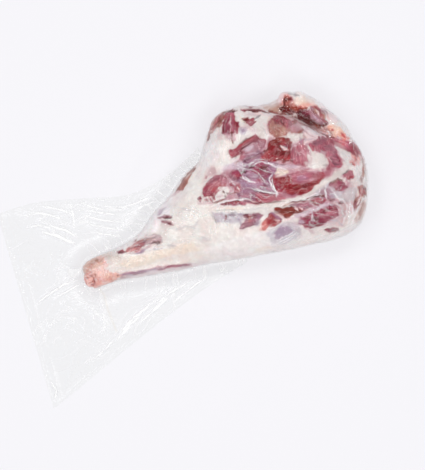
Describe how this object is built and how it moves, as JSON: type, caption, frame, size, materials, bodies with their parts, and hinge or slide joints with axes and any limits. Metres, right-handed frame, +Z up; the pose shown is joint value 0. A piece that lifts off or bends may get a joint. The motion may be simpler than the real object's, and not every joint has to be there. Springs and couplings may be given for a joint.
{
  "type": "bone-in leg of lamb in a vacuum bag",
  "caption": "Raw leg of lamb on the bone lying on its side in a clear vacuum bag, the bag's loose end spread flat round the shank.",
  "frame": {"origin": "on the table under the middle of the whole part's box", "axes": "+X along the leg from the shank's cut end to the butt, +Z up from the table"},
  "size_m": [0.533, 0.273, 0.0906],
  "materials": {
    "meat": "wet raw meat with pale fat, under clear film",
    "bone": "moist bone and joint gristle",
    "film": "thin clear glossy plastic film, crinkled"
  },
  "bodies": {
    "root": {"leg": "meat", "shank_bone": "bone", "bag": "film"}
  },
  "joints": []
}
